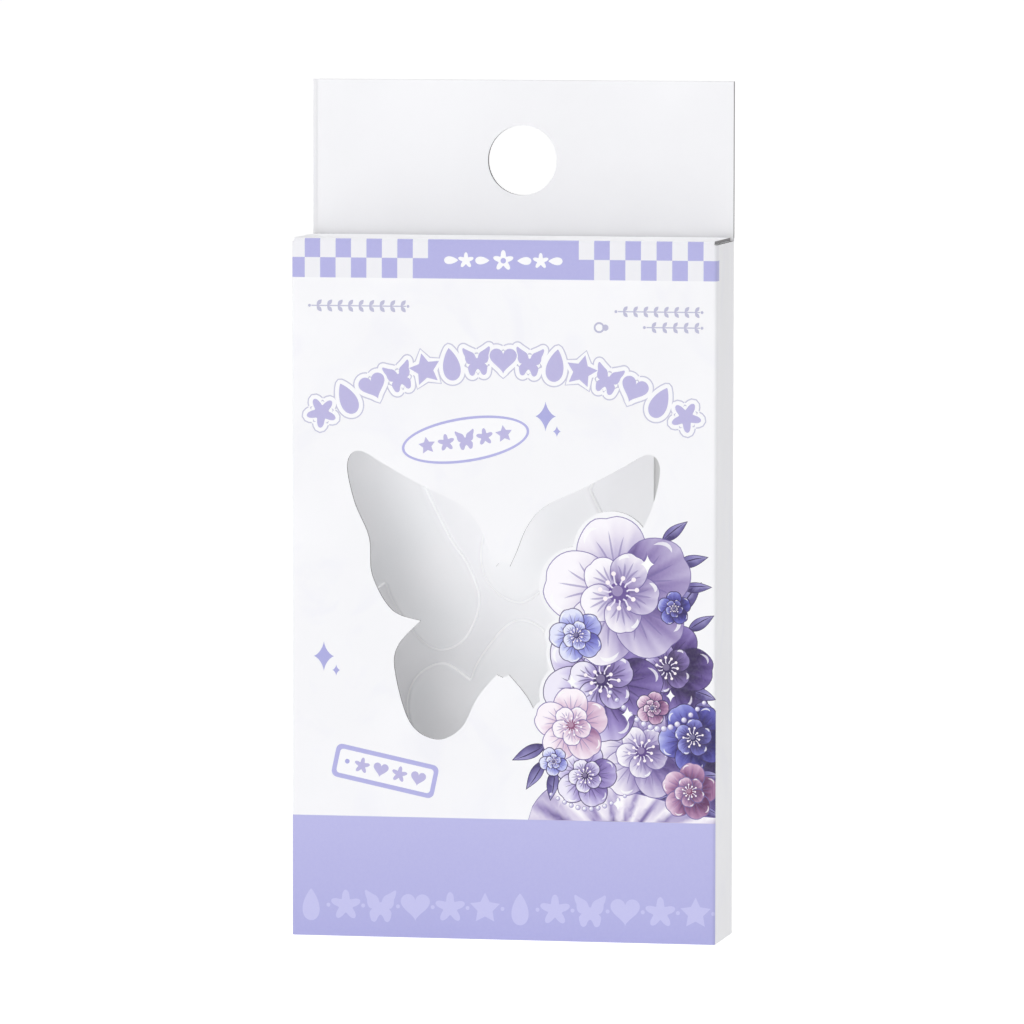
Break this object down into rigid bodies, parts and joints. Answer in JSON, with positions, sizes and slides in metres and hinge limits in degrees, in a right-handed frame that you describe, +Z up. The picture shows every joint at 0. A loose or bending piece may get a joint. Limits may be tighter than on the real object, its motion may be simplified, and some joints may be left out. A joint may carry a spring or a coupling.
{
  "type": "pair of butterfly ear stickers on a sheet in a hang tab carton",
  "caption": "Frosted butterfly-shaped ear stickers on a flat sheet, in a folding carton with a hang tab, a hinged lid and a butterfly window.",
  "frame": {"origin": "middle of the carton's foot, on the surface that it stands on", "axes": "+Z up towards the hang tab, +X to the right seen from the front, -Y out of the printed front"},
  "size_m": [0.075, 0.018, 0.1491],
  "materials": {
    "printed_board": "satin printed white board with lilac bands and a floral print",
    "white_board": "satin white folding boxboard",
    "release_paper": "smooth white release paper",
    "frosted_gel": "frosted translucent gel"
  },
  "bodies": {
    "carton": {"front_panel": "printed_board", "back_panel": "white_board", "hang_tab_front_ply": "white_board", "left_side_panel": "white_board", "right_side_panel": "white_board", "bottom_panel": "white_board", "sticker_sheet": "release_paper", "ear_sticker_left": "frosted_gel", "ear_sticker_right": "frosted_gel", "ear_sticker_lower": "frosted_gel"},
    "lid": {"top_lid": "white_board"}
  },
  "joints": [
    {"name": "lid_hinge", "type": "hinge", "parent": "carton", "child": "lid", "pos_m": [0, -0.009, 0.122], "axis": [1, 0, 0], "range_deg": [0, 150]}
  ]
}
